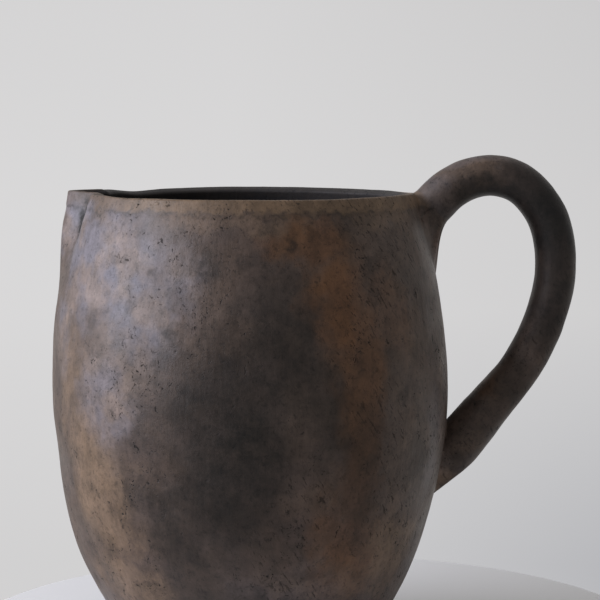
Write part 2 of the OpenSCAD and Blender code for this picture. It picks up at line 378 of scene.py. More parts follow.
def wall_section(wall):
    """The jug's half section from the foot's middle, up the outside, over the lip, down inside.

    Gives the points as radius and height, and the row numbers at which pieces meet.
    """
    outer, inner = joint_heights(wall)
    rows, mark = [], {}
    foot = float(egg_radius(wall, 0.0)) - wall.foot_edge
    rows += [np.array([foot * k / FLOOR_RINGS, 0.0]) for k in range(FLOOR_RINGS)]
    for a in np.radians(np.linspace(-90, -10, 8)):
        rows.append(np.array([foot, wall.foot_edge]) + wall.foot_edge * np.array([np.cos(a), np.sin(a)]))
    rows += stretch(lambda z: outer_point(wall, z), wall.foot_edge + 0.5 * MM, outer[0], wall.cell)
    for k, z in enumerate(outer):
        mark[f"outer_{k}"] = len(rows)
        end = outer[k + 1] if k + 1 < len(outer) else lip_height(wall)
        rows += stretch(lambda z: outer_point(wall, z), z, end, wall.cell)
    lip = lip_height(wall)
    normal = egg_normal(wall, lip)
    half = wall_thickness(wall, lip) / 2
    centre = outer_point(wall, lip) - half * normal
    upward = np.array([-normal[1], normal[0]])
    mark["lip"] = len(rows) + LIP_STEPS // 2
    for k in range(LIP_STEPS):
        a = math.pi * k / LIP_STEPS
        across = math.copysign(abs(math.cos(a)) ** 0.6, math.cos(a))
        rows.append(centre + half * across * normal + wall.lip_crown * math.sin(a) ** 0.6 * upward)
    rows += stretch(lambda z: inner_point(wall, z), lip, inner[-1], wall.inner_cell)
    corner = inner[0] + wall.seam_coil
    for k in range(len(inner) - 1, -1, -1):
        mark[f"inner_{k}"] = len(rows)
        if k == 1:
            rows += stretch(lambda z: inner_point(wall, z), inner[1], corner, wall.inner_cell)
            mark["seam_top"] = len(rows)
            top = inner_point(wall, corner)
            bottom = np.array([inner_point(wall, inner[0])[0] - wall.seam_coil, wall.floor])
            bend = top - np.array([wall.seam_coil * 0.55, wall.seam_coil * 0.62])
            for t in np.arange(SEAM_STEPS) / SEAM_STEPS:
                rows.append((1 - t) ** 2 * top + 2 * t * (1 - t) * bend + t * t * bottom)
            mark["seam_bottom"] = len(rows)
            rows += [bottom * np.array([1 - k / FLOOR_RINGS, 1]) for k in range(FLOOR_RINGS)]
            break
        rows += stretch(lambda z: inner_point(wall, z), inner[k], inner[k - 1], wall.inner_cell)
    rows.append(np.array([0.0, wall.floor]))
    return np.array(rows), mark


def lip_height(wall):
    """Height at which the wall's outer face turns over into the lip."""
    lean = egg_normal(wall, wall.rim_height)[1]
    return wall.rim_height - wall.lip_crown + wall.rim_wall / 2 * lean


def swelling(marks, angle, height):
    """The sum of soft marks, each at an angle and height, with its half widths and depth."""
    total = np.zeros_like(angle)
    for degrees, level, turn, rise, depth in marks:
        away = np.mod(angle - math.radians(degrees) + np.pi, 2 * np.pi) - np.pi
        total += depth * MM * bump(away / math.radians(turn)) * bump((height - level * MM) / (rise * MM))
    return total


def shape_wall(wall, beak, radius, height, angle, inside):
    """Radius and height of the formed wall: the turned section, pinched and a little uneven.

    angle runs from the handle at 0; the beak is at pi. inside is 1 on the inner face.
    """
    from_beak = np.abs(np.mod(angle, 2 * np.pi) - np.pi)
    share = ease((height - wall.rim_height + beak.drop) / beak.drop)
    push = beak.reach * bump(from_beak / beak.width) * share
    push += beak.thinning * bump(from_beak / (2 * beak.width)) * inside * share ** 4
    push -= beak.pinch * bump((from_beak - beak.pinch_at) / beak.pinch_width) * share ** 2
    hand = swelling(HAND_MARKS, angle, height) * ease(radius / (20 * MM))
    # The band's edge sways a little on its way round.
    sway = 0.6 * MM * np.sin(3 * angle + 1) + 0.4 * MM * np.sin(7 * angle)
    band = ease((height - wall.rim_height + wall.band_width + sway) / (1.6 * MM) + 0.5)
    hand += wall.band_depth * band * (1 - inside)
    lift = swelling(LIP_MARKS, angle, height)
    lift += beak.rise * ease((beak.rise_from - from_beak) / beak.rise_run) * share ** 3
    return radius + push + hand, height + lift


def form_wall(wall, beak):
    """The whole jug body as one closed grid: points by row and column, and the row marks."""
    section, mark = wall_section(wall)
    angles = np.arange(wall.columns) * 2 * np.pi / wall.columns
    radius, angle = np.meshgrid(section[:, 0], angles, indexing="ij")
    height = np.meshgrid(section[:, 1], angles, indexing="ij")[0]
    inside = (np.arange(len(section)) > mark["lip"])[:, None]
    radius, height = shape_wall(wall, beak, radius, height, angle, inside)
    points = np.stack([radius * np.cos(angle), radius * np.sin(angle), height], axis=-1)
    return points, mark


def flat_points(grid):
    """The points of a closed grid in order, with one point for each pole."""
    return np.concatenate([grid[0, :1], grid[1:-1].reshape(-1, 3), grid[-1, :1]])


def grid_faces(rows, columns):
    """Quads of a grid that is closed round its columns, with the first and last rows as poles."""
    row, column = np.meshgrid(np.arange(1, rows - 2), np.arange(columns), indexing="ij")
    index = 1 + (row - 1) * columns
    following = (column + 1) % columns
    quads = np.stack([index + column, index + following, index + columns + following,
                      index + columns + column], axis=-1).reshape(-1, 4)
    last = 1 + (rows - 3) * columns
    tip = 1 + (rows - 2) * columns
    ring = np.arange(columns)
    start_fan = np.stack([np.zeros(columns, int), 1 + (ring + 1) % columns, 1 + ring], axis=-1)
    end_fan = np.stack([np.full(columns, tip), last + ring, last + (ring + 1) % columns], axis=-1)
    return quads.tolist() + start_fan.tolist() + end_fan.tolist()


def burnished_skin_tree():
    """Leaves a burnished wall's relief: soft dents, stroke facets and pores from burnt-out grit."""
    tree, given = new_tree("Burnished skin", "Dent depth", "Dent size", "Stroke depth",
                           "Stroke width", "Pore depth", "Pore radius", "Pore density",
                           integers=("Seed",))
    node = partial(add, tree)
    place = node("GeometryNodeInputPosition")
    skin = 0.0
    # Round dents, then upright strokes of the polishing stone, then level wipes.
    for squash, size, detail, depth in (((1, 1, 1), "Dent size", 1.0, "Dent depth"),
                                        ((1, 1, 0.14), "Stroke width", 2.0, "Stroke depth"),
                                        ((0.2, 0.2, 1), "Stroke width", 1.0, "Stroke depth")):
        spot = node("VectorMath MULTIPLY", place, squash)
        scale = node("Math DIVIDE", 1.0, given[size])
        wave = node("TexNoise", spot, None, scale, detail)
        wave = node("Math SUBTRACT", wave, 0.5)
        wave = node("Math MULTIPLY", wave, given[depth])
        skin = node("Math ADD", skin, wave)
    crowd = clouds(tree, place, 26 * MM, 0.5, 0.68, detail=2.0)
    grit = node("GeometryNodeDistributePointsOnFaces", {
        "Mesh": given["Geometry"], "Density Max": given["Pore density"], "Density Factor": crowd,
        "Distance Min": 1.5 * MM, "Seed": given["Seed"]}, distribute_method="POISSON")
    away = node("GeometryNodeProximity", grit, out="Distance", target_element="POINTS")
    uneven = node("TexNoise", place, None, 1 / (1.6 * MM), 1.0)
    reach = node("Math MULTIPLY", uneven, given["Pore radius"])
    reach = node("Math MULTIPLY", reach, 2.0)
    pore = node("MapRange", away, 0.0, reach, 1.0, 0.0, interpolation_type="SMOOTHSTEP")
    hole = node("Math MULTIPLY", pore, given["Pore depth"])
    above_foot = node("MapRange", node("SeparateXYZ", place, out="Z"), 0.5 * MM, 6 * MM)
    skin = node("Math MULTIPLY", skin, above_foot)
    skin = node("Math SUBTRACT", skin, hole)
    marked = node("GeometryNodeStoreNamedAttribute", {
        "Geometry": given["Geometry"], "Name": "pore", "Value": pore})
    end_tree(tree, raised(tree, marked, skin), given["Clay"])
    return tree


# Rows of the wall's grid by which the soot spills over the lip, and in which it fades.
SPILL_ROWS = 9
FADE_ROWS = 6


def soot_cover(rows, columns, lip):
    """How sooty the clay is: bare outside, sooty inside, with soot over the lip's far side."""
    angle = np.arange(columns) * 2 * np.pi / columns
    spill = SPILL_ROWS * ease(np.sin(angle) + 0.35)
    return ease((np.arange(rows)[:, None] - lip + spill[None, :]) / FADE_ROWS)


def worked_wall(wall, beak, skin):
    """The body after burnishing, by row and column: points, normals and coats, and the row marks."""
    points, mark = form_wall(wall, beak)
    rows, columns = points.shape[:2]
    holder = plain_mesh("wall_blank", flat_points(points), grid_faces(rows, columns))
    mesh = run_tree(holder, burnished_skin_tree(), dent_depth=skin.dent_depth, dent_size=skin.dent_size,
                    stroke_depth=skin.stroke_depth, stroke_width=skin.stroke_width,
                    pore_depth=skin.pore_depth, pore_radius=skin.pore_radius,
                    pore_density=skin.pore_density, seed=skin.seed)
    flat = vertex_rows(mesh.vertices, "co")
    normals = vertex_rows(mesh.vertex_normals, "vector")
    pores = np.empty(len(flat), dtype=np.float32)
    mesh.attributes["pore"].data.foreach_get("value", pores)
    bpy.data.objects.remove(holder)
    bpy.data.meshes.remove(mesh)

    def as_grid(values):
        ring = (columns, *values.shape[1:])
        middle = values[1:-1].reshape(rows - 2, *ring)
        poles = [np.broadcast_to(values[k], (1, *ring)) for k in (0, -1)]
        return np.concatenate([poles[0], middle, poles[1]])

    coats = {"pore": as_grid(pores), "inside": soot_cover(rows, columns, mark["lip"])}
    return as_grid(flat), as_grid(normals), coats, mark


def cut_piece(name, grid, normals, coats, chain, columns=None):
    """A closed piece of the body: its section runs along a chain of rows and back to its start.

    Rows that follow each other in the grid are joined by finished clay. Any other pair is
    joined by a hidden joint face. A chain that ends in both poles needs no way back.
    columns picks a sector, which gets a flat joint face at each side. Each coat becomes an attribute.
    """
    whole = columns is None
    columns = np.arange(grid.shape[1]) if whole else columns
    count = len(columns)
    last_row = grid.shape[0] - 1
    points, corner_normals, faces = [], [], []
    values = {label: [] for label in coats}
    start = {}
    for row in chain:
        start[row] = len(points)
        shown = columns[:1] if row in (0, last_row) else columns
        points += grid[row][shown].tolist()
        for label, coat in coats.items():
            values[label] += coat[row][shown].tolist()
    pairs = list(zip(chain, chain[1:]))
    if not {chain[0], chain[-1]} & {0, last_row}:
        pairs.append((chain[-1], chain[0]))
    spans = range(count) if whole else range(count - 1)
    for low, high in pairs:
        finished = abs(high - low) == 1
        for j in spans:
            k = (j + 1) % count
            ring = [(low, j), (low, k), (high, k), (high, j)]
            if low in (0, last_row):
                ring = [(low, 0), (high, k), (high, j)]
            elif high in (0, last_row):
                ring = [(low, j), (low, k), (high, 0)]
            faces.append([start[row] + c for row, c in ring])
            if finished:
                corner_normals += [normals[row][columns[c]] for row, c in ring]
            else:
                across = [grid[row][columns[c]] for row, c in ring]
                flat = np.cross(across[1] - across[0], across[-1] - across[0])
                corner_normals += [flat / max(1e-12, np.linalg.norm(flat))] * len(ring)
    if not whole:
        for j, order in ((0, 1), (count - 1, -1)):
            cap = [start[row] + j for row in chain][::order]
            faces.append(cap)
            way = np.cross(points[cap[0]], [0, 0, 1]) * order
            corner_normals += [way / np.linalg.norm(way)] * len(cap)
    piece = plain_mesh(name, points, faces, corner_normals)
    for label, row_values in values.items():
        store(piece, label, row_values)
    return piece


def body_chains(wall, mark, last_row):
    """The rows round each piece's section, by CAD node."""
    def run(a, b):
        return list(range(mark[a], mark[b] + 1))

    chains = {"base_slab": list(range(0, mark["outer_0"] + 1))
                           + list(range(mark["seam_bottom"], last_row + 1))}
    chains["base_seam_coil"] = run("seam_top", "seam_bottom")
    for k, node in enumerate(COURSES):
        inner = list(range(mark[f"inner_{k + 1}"], mark[f"inner_{k}"] + 1)) if k else \
            run("inner_1", "seam_top")
        chains[node] = run(f"outer_{k}", f"outer_{k + 1}") + inner
    chains["rim_coil"] = run(f"outer_{len(COURSES)}", f"inner_{len(COURSES)}")
    chains["spout_beak"] = run(f"outer_{len(COURSES) - 1}", f"inner_{len(COURSES) - 1}")
    return chains


# ---------------------------------------------------------------- the handle

# The coil's bends from the lower end up, as radius in millimetres and turn in degrees.
HANDLE_BENDS = ((93, 29.5), (59, 22), (38, 34), (24, 39), (28, 31), (34, 20))
# The line's points, its straight run into the upper wall, how far it starts inside the lower wall,
# the run from the lower end's middle to its luting, and how deep the buried coil lies.
LINE_STEP = 1 * MM
ROOT_RUN = 17 * MM
FOOT_EMBED = 16 * MM
FOOT_RUN = 17 * MM
COIL_SUNK = 3 * MM
# Each end's thickness: how far past the end's middle, or short of it at the root, it is full, and
# the run in which it fades to the coil's.
FOOT_SWELL, FOOT_FADE = 9 * MM, 46 * MM
ROOT_SWELL, ROOT_FADE = 8 * MM, 26 * MM


def handle_line(handle):
    """The coil's middle line in the handle's upright plane, lower end first, one row a point."""
    point = np.array([handle.foot_x, handle.foot_z])
    heading = handle.heading
    line = []

    def straight(length):
        nonlocal point
        count = round(length / LINE_STEP)
        way = np.array([math.cos(heading), math.sin(heading)])
        for k in range(1, count + 1):
            line.append(point + way * length * k / count)
        point = line[-1]

    point = point - FOOT_EMBED * np.array([math.cos(heading), math.sin(heading)])
    line.append(point)
    straight(handle.leg + FOOT_EMBED)
    for radius, turn in HANDLE_BENDS:
        radius, turn = radius * MM, math.radians(turn)
        hub = point + radius * np.array([-math.sin(heading), math.cos(heading)])
        count = max(2, round(radius * turn / LINE_STEP))
        for k in range(1, count + 1):
            a = heading + turn * k / count
            line.append(hub + radius * np.array([math.sin(a), -math.cos(a)]))
        heading += turn
        point = line[-1]
    straight(ROOT_RUN)
    return np.array(line)


def handle_radii(handle, line):
    """The coil's radius at each point of its line: thicker where it is pressed on."""
    along = np.concatenate([[0], np.cumsum(np.linalg.norm(np.diff(line, axis=0), axis=1))])
    foot = ease(1 - (along - FOOT_EMBED - FOOT_SWELL) / FOOT_FADE)
    root = ease(1 - (along[-1] - ROOT_RUN - along + ROOT_SWELL) / ROOT_FADE)
    swell = (handle.foot_diameter - handle.diameter) * foot
    swell += (handle.root_diameter - handle.diameter) * root
    return (handle.diameter + swell) / 2


def coil_curve(handle):
    """The coil's middle line as a curve object whose points carry the coil's radius."""
    line = handle_line(handle)
    radii = handle_radii(handle, line)
    curve = bpy.data.curves.new("handle_line", "CURVE")
    curve.dimensions = "3D"
    spline = curve.splines.new("POLY")
    spline.points.add(len(line) - 1)
    for point, (x, z), radius in zip(spline.points, line, radii):
        point.co = (x, 0, z, 1)
        point.radius = radius
    holder = bpy.data.objects.new("handle_line", curve)
    bpy.context.scene.collection.objects.link(holder)
    return holder


def new_tree(name, *floats, vectors=(), integers=()):
    """A Geometry Nodes tree with named inputs, and those inputs."""
    tree = bpy.data.node_groups.new(name, "GeometryNodeTree")
    for kind, names in (("Geometry", ("Geometry",)), ("Float", floats), ("Vector", vectors),
                        ("Int", integers), ("Material", ("Clay",))):
        for socket in names:
            tree.interface.new_socket(socket, in_out="INPUT", socket_type=f"NodeSocket{kind}")
    tree.interface.new_socket("Geometry", in_out="OUTPUT", socket_type="NodeSocketGeometry")
    return tree, tree.nodes.new("NodeGroupInput").outputs


def run_tree(holder, tree, **values):
    """Runs a Geometry Nodes tree on an object and gives the plain mesh that it makes."""
    modifier = holder.modifiers.new(tree.name, "NODES")
    modifier.node_group = tree
    sockets = {item.name: item.identifier for item in tree.interface.items_tree
               if item.item_type == "SOCKET" and item.in_out == "INPUT"}
    for name, value in values.items():
        modifier[sockets[name.replace("_", " ").capitalize()]] = value
    graph = bpy.context.evaluated_depsgraph_get()
    graph.update()
    mesh = bpy.data.meshes.new_from_object(holder.evaluated_get(graph), depsgraph=graph)
    holder.modifiers.remove(modifier)
    return mesh


def raised(tree, geometry, height):
    """Moves a surface out along its normals."""
    normal = add(tree, "GeometryNodeInputNormal")
    shift = add(tree, "VectorMath SCALE", normal, {"Scale": height})
    return add(tree, "GeometryNodeSetPosition", {"Geometry": geometry, "Offset": shift})


def end_tree(tree, geometry, clay):
    """Ends a tree with Realize Instances and Set Material."""
    geometry = add(tree, "GeometryNodeRealizeInstances", geometry)
    geometry = add(tree, "GeometryNodeSetMaterial", {"Geometry": geometry, "Material": clay})
    add(tree, "NodeGroupOutput", geometry)


def rolled_coil_tree():
    """Sweeps a round section along a curve, presses one end flat and leaves soft dents."""
    tree, given = new_tree("Rolled coil", "Ring step", "Press softness", "Dent size", "Dent depth",
                           vectors=("Press point", "Press way"), integers=("Sides",))
    node = partial(add, tree)
    line = node("GeometryNodeResampleCurve", {"Curve": given["Geometry"], "Length": given["Ring step"]},
                mode="LENGTH")
    ring = node("GeometryNodeCurvePrimitiveCircle", {"Resolution": given["Sides"], "Radius": 1.0})
    sweep = node("GeometryNodeCurveToMesh", {
        "Curve": line, "Profile Curve": ring, "Scale": node("GeometryNodeInputRadius"),
        "Fill Caps": True})
    place = node("GeometryNodeInputPosition")
    offset = node("VectorMath SUBTRACT", place, given["Press point"])
    proud = node("VectorMath DOT_PRODUCT", offset, given["Press way"], out="Value")
    kept = node("Math SMOOTH_MIN", proud, 0.0, given["Press softness"])
    pressed = node("Math SUBTRACT", kept, proud)
    shift = node("VectorMath SCALE", given["Press way"], {"Scale": pressed})
    shaped = node("GeometryNodeSetPosition", {"Geometry": sweep, "Offset": shift})
    scale = node("Math DIVIDE", 1.0, given["Dent size"])
    dents = node("TexNoise", place, None, scale, 2.0)
    dents = node("Math SUBTRACT", dents, 0.5)
    dents = node("Math MULTIPLY", dents, given["Dent depth"])
    end_tree(tree, raised(tree, shaped, dents), given["Clay"])
    return tree


# ---------------------------------------------------------------- the luting

# How far the walks that look for the coil's joint with the wall go, and their steps.
SEARCH_REACH = 30 * MM
SEARCH_STEP = 0.4 * MM
# How deep the luting's edges and its hidden side lie, and how full its fillet is.
SUNK_EDGE = 0.1 * MM
DEPTH_IN_WALL = 2.5 * MM
DEPTH_IN_COIL = 3 * MM
FILLET_FULLNESS = 0.12
# How much less it is spread and reaches over the coil's upper side, and how much further under it.
OVER_SPREAD = 0.78
OVER_REACH = 0.62
UNDER_REACH = 2 * MM
# Ridges that the fingers left under the root, as height in millimetres, angle from the coil's
# underside and half width in radians.
FINGER_RIDGES = ((1.4, 0.62, 0.11), (1.0, 0.3, 0.08), (-0.6, 0.46, 0.07))


def surface_of(names):
    """A search tree over the faces of some finished pieces."""
    points, faces = [], []
    for name in names:
        mesh = bpy.data.objects[name].data
        start = len(points)
        points += [tuple(v.co) for v in mesh.vertices]
        faces += [[start + k for k in face.vertices] for face in mesh.polygons]
    return BVHTree.FromPolygons(points, faces)


def slide_to(surface, point, way):
    """The surface's point that a walk from a point comes nearest to."""
    best = None
    for step in np.arange(0, SEARCH_REACH, SEARCH_STEP):
        spot, _, _, distance = surface.find_nearest(point + way * float(step))
        if best is None or distance < best[0] - 1e-6:
            best = (distance, spot)
    return best[1]


def joint_corner(coil, wall, start, way, side):
    """The point of the coil's skin, on one side of its middle line, at which it meets the wall."""
    best = None
    for step in np.arange(0, SEARCH_REACH, SEARCH_STEP):
        skin = coil.ray_cast(start + way * float(step), side)[0]
        gap = wall.find_nearest(skin)[3] if skin else math.inf
        if best is None or gap < best[0]:
            best = (gap, skin)
    return best[1]


def smoothed(ring):
    """A closed row of points with its kinks eased out."""
    row = np.array([tuple(p) for p in ring])
    for _ in range(3):
        row = (np.roll(row, 1, 0) + 2 * row + np.roll(row, -1, 0)) / 4
    return row


def blended_normals(strip, feet_out, ends_out, outs):
    """Normals of a strip of rings: the wall's at its first ring and the coil's at its last."""
    onward = np.gradient(strip, axis=0)
    around = np.roll(strip, -1, axis=1) - np.roll(strip, 1, axis=1)
    normals = np.cross(around, onward)
    normals *= np.sign(np.sum(normals * outs, axis=(1, 2)))[:, None, None]
    normals /= np.linalg.norm(normals, axis=2, keepdims=True)
    t = np.linspace(0, 1, len(strip))[:, None, None]
    by_wall, by_coil = ease(1 - 2.2 * t), ease(2.2 * t - 1.2)
    normals = normals * (1 - by_wall - by_coil) + feet_out * by_wall + ends_out * by_coil
    return normals / np.linalg.norm(normals, axis=2, keepdims=True)


def worked_collar(name, middle, heading, way, wall, coil, shape):
    """Clay worked round a joint: a ring of fillets from the wall's face to the coil's.

    middle and heading place the coil's section, way points along it to the wall. shape gives
    spread, reach and ridge height at an angle round the coil, which is 0 on its outer side.
    """
    sides, steps = 180, 16
    start = Vector((middle[0], 0, middle[1]))
    hub = slide_to(wall, start, way)
    rows = {key: [] for key in ("foot", "corner", "end", "out", "foot_out", "end_out", "in_wall",
                                "in_coil")}
    lifts = []
    for j in range(sides):
        a = 2 * math.pi * j / sides
        side = Vector((math.cos(a) * math.sin(heading), -math.sin(a),
                       -math.cos(a) * math.cos(heading)))
        spread, reach, ridge = shape(a)
        corner = joint_corner(coil, wall, start, way, side)
        foot, foot_out, _, _ = wall.find_nearest(corner + (corner - hub).normalized() * spread)
        end, end_out, _, _ = coil.find_nearest(corner - way * reach + side * 2 * MM)
        out = (foot_out + end_out).normalized()
        lifts.append(ridge)
        for key, place in (("foot", foot - foot_out * SUNK_EDGE), ("end", end - end_out * SUNK_EDGE),
                           ("corner", corner + out * FILLET_FULLNESS * min(spread, reach)),
                           ("foot_out", foot_out), ("end_out", end_out), ("out", out),
                           ("in_wall", foot - foot_out * DEPTH_IN_WALL),
                           ("in_coil", end - end_out * DEPTH_IN_COIL)):
            rows[key].append(place)
    rows = {key: smoothed(row) for key, row in rows.items()}
    # The fillet's curve. A ridge is at its full height a third of the way from the wall.
    t = np.linspace(0, 1, steps + 1)
    fade = 6.75 * t * (1 - t) ** 2
    rings = [(1 - t[k]) ** 2 * rows["foot"] + 2 * t[k] * (1 - t[k]) * rows["corner"]
             + t[k] ** 2 * rows["end"] + rows["out"] * np.array(lifts)[:, None] * fade[k]
             for k in range(steps + 1)]
    shown = blended_normals(np.array(rings), rows["foot_out"], rows["end_out"], rows["out"])
    rings += [rows["in_coil"], rows["in_wall"]]
    count = len(rings)
    points = np.concatenate(rings)
    middle = steps // 2 * sides
    across, onward = points[middle + 1] - points[middle], points[middle + sides] - points[middle]
    outward = np.cross(across, onward) @ rows["out"][0] > 0
    faces, normals = [], []
    for k in range(count):
        for j in range(sides):
            n = (j + 1) % sides
            ring = [(k, j), (k, n), ((k + 1) % count, n), ((k + 1) % count, j)]
            ring = ring if outward else ring[::-1]
            faces.append([row * sides + column for row, column in ring])
            if k < steps:
                normals += [shown[row, column] for row, column in ring]
            else:
                spots = points[faces[-1]]
                flat = np.cross(spots[2] - spots[0], spots[3] - spots[1])
                normals += [flat / max(1e-12, np.linalg.norm(flat))] * 4
    piece = plain_mesh(name, points.tolist(), faces, normals)
    store(piece, "near_wall", np.repeat([*(1 - t), 0, 1], sides))
    # The finger ridges' crests, to which the clay gives a painted highlight.
    store(piece, "crest_highlight", np.outer([*fade, 0, 0], np.maximum(lifts, 0) / MM).ravel())
    return piece


# ---------------------------------------------------------------- clays

# Soft-edged marks of the firing on the wall: degrees from the handle, height, half width, half
# height and strength. Lengths are in millimetres. The handle is at 0, the beak at 180.
SMOKE_CLOUDS = (
    (-98, 96, 34, 60, 1.0), (-83, 140, 22, 50, 0.9), (-72, 116, 17, 30, 0.75), (-113, 68, 18, 36, 0.85),
    (-113, 137, 10, 12, 0.6), (-92, 110, 26, 46, 0.5), (-92, 28, 46, 17, 0.8), (-67, 98, 9, 18, 0.6),
    (-109, 42, 20, 15, 0.6), (-58, 88, 16, 44, 0.6), (-128, 80, 7, 10, 0.3), (-30, 158, 13, 20, 0.45),
    (-36, 88, 12, 18, 0.6), (-50, 132, 8, 14, 0.3), (-22, 184, 8, 12, 0.5), (-122, 108, 7, 9, 0.35),
    (58, 112, 38, 48, 1.0), (98, 66, 24, 34, 0.8), (138, 152, 22, 28, 0.7), (14, 52, 22, 20, 0.7),
    (84, 178, 18, 12, 0.5), (22, 166, 10, 12, 0.5), (120, 112, 8, 9, 0.6),
)
# Small sharp marks, which keep their places: painted shade in the beak's creases, and stains:
# blots and thumb prints.
STAINS_AND_CREASE_SHADE = (
    (-168, 188, 5.6, 16, 1.0), (168, 186, 5, 15, 0.9), (-165, 195, 7, 4, 0.7), (-104, 172, 9, 8, 0.55),
    (-93, 175, 6, 4, 0.45), (-79, 180, 4, 4, 0.7), (-86, 186, 7, 3, 0.4), (-66, 184, 15, 6, 0.35),
    (-128, 158, 3, 7, 0.4), (-142, 150, 4, 10, 0.3), (-120, 168, 4, 4, 0.4), (-114, 146, 5, 4, 0.5),
    (-52, 172, 5, 4, 0.4), (-44, 118, 4, 6, 0.4), (-58, 60, 5, 5, 0.4), (-74, 46, 6, 4, 0.35),
    (40, 150, 7, 6, 0.5), (76, 186, 9, 3, 0.4), (112, 134, 6, 8, 0.5), (150, 84, 5, 7, 0.4),
    (96, 110, 5, 5, 0.5), (64, 62, 6, 6, 0.4),
)
OCHRE_BLUSHES = (
    (-60, 118, 16, 84, 0.8), (-66, 156, 17, 28, 1.0), (-60, 56, 18, 32, 0.8), (-47, 152, 14, 26, 0.45),
    (-74, 182, 24, 12, 0.85), (84, 150, 20, 36, 0.6), (30, 128, 14, 34, 0.5), (120, 60, 18, 22, 0.5),
    (176, 100, 12, 22, 0.4),
)
TAN_BLUSHES = (
    (-141, 84, 22, 42, 1.0), (-154, 126, 16, 30, 0.65), (-131, 124, 14, 20, 0.6),
    (-136, 40, 26, 16, 0.8), (-98, 190, 34, 6, 0.45), (-42, 52, 22, 18, 0.7), (-64, 42, 18, 12, 0.3),
    (-40, 192, 20, 8, 0.5), (126, 92, 20, 42, 0.6), (160, 112, 14, 28, 0.5), (0, 72, 14, 16, 0.5),
    (72, 44, 26, 16, 0.5), (40, 186, 20, 8, 0.5),
)
# Grey ash blooms. Those between the front and the beak, in the upper half, are painted sheen of the
# window lamp.
ASH_AND_SHEEN_BLOOMS = (
    (-138, 168, 34, 27, 1.0), (-122, 150, 17, 20, 0.8), (-158, 150, 14, 34, 0.6),
    (-76, 38, 44, 14, 0.2), (-174, 188, 14, 18, 1.0), (-160, 194, 10, 8, 0.9), (-112, 166, 16, 16, 0.6),
    (-154, 178, 18, 16, 0.9), (-24, 100, 15, 44, 0.3), (-135, 118, 20, 26, 0.7),
    (110, 174, 28, 15, 0.7), (44, 176, 24, 16, 0.6), (150, 48, 24, 15, 0.6), (6, 150, 15, 20, 0.5),
    (76, 92, 12, 20, 0.4),
)
# The same on the handle, as distance from the axis, height, half width, half height and strength.
# Smoke on the handle, with painted shade under the top of its arch and on its outer side, away from the
# lamp.
HANDLE_SMOKE_AND_SHADE = (
    (118, 205, 14, 8, 0.6), (129, 186, 21, 32, 1.0), (108, 198, 24, 7, 0.9), (133, 152, 13, 28, 0.8),
    (116, 116, 16, 14, 0.35), (104, 104, 9, 8, 0.35), (95, 97, 5, 5, 0.6), (90, 186, 8, 6, 0.6),
    (95, 86, 9, 6, 0.45),
)
HANDLE_STAINS = ((111, 204, 4, 3, 0.3), (136, 170, 3, 6, 0.3), (101, 98, 4, 4, 0.3))
HANDLE_OCHRE = ((104, 116, 8, 8, 0.25), (84, 176, 6, 5, 0.25))
HANDLE_TAN = ((94, 206, 20, 8, 0.28), (84, 76, 9, 8, 0.6), (98, 92, 10, 12, 0.3))
HANDLE_BLOOM = (
    (78, 197, 14, 12, 0.25), (98, 212, 20, 5, 0.25), (84, 84, 12, 12, 0.4), (123, 134, 9, 20, 0.25),
)


def on_wall(wall, beak, marks):
    """Firing marks given round the wall, as middle, spread and strength in metres."""
    placed = []
    for degrees, height, wide, tall, strength in marks:
        angle = math.radians(degrees)
        radius, _ = shape_wall(wall, beak, float(egg_radius(wall, height * MM)), height * MM, angle, 0)
        radius = float(radius)
        middle = (radius * math.cos(angle), radius * math.sin(angle), height * MM)
        placed.append((middle, (wide * MM, wide * MM, tall * MM), strength))
    return placed


def on_handle(marks):
    """Firing marks given in the handle's upright plane, as middle, spread and strength in metres."""
    return [((x * MM, 0, z * MM), (wide * MM, 2 * wide * MM, tall * MM), strength)
            for x, z, wide, tall, strength in marks]


def soft_patch_group():
    """A node group that fades from its strength at a middle to nothing past its spread."""
    group = bpy.data.node_groups.get("Soft patch")
    if group:
        return group
    group = bpy.data.node_groups.new("Soft patch", "ShaderNodeTree")
    for name, kind in (("Place", "Vector"), ("Middle", "Vector"), ("Shrink", "Vector"),
                       ("Strength", "Float")):
        group.interface.new_socket(name, in_out="INPUT", socket_type=f"NodeSocket{kind}")
    group.interface.new_socket("Amount", in_out="OUTPUT", socket_type="NodeSocketFloat")
    given = group.nodes.new("NodeGroupInput").outputs
    node = partial(add, group)
    offset = node("VectorMath SUBTRACT", given["Place"], given["Middle"])
    scaled = node("VectorMath MULTIPLY", offset, given["Shrink"])
    away = node("VectorMath LENGTH", scaled, out="Value")
    fade = node("MapRange", away, 0.35, 1.25, 1.0, 0.0, interpolation_type="SMOOTHSTEP")
    node("NodeGroupOutput", node("Math MULTIPLY", fade, given["Strength"]))
    return group


def patches(tree, place, marks):
    """How strongly any of the marks shows at a place."""
    total = None
    for middle, spread, strength in marks:
        shrink = [1 / length for length in spread]
        amount = add(tree, "Group", place, middle, shrink, strength, node_tree=soft_patch_group())
        total = amount if total is None else add(tree, "Math SMOOTH_MAX", total, amount, 0.15)
    return total


def clouds(tree, place, size, low, high, start=0.0, end=1.0, detail=3.0, rough=0.5):
    """Clouds about size metres wide: noise taken from low..high to start..end, and held there."""
    noise = add(tree, "TexNoise", place, None, 1 / size, detail, rough)
    return add(tree, "MapRange", noise, low, high, start, end)


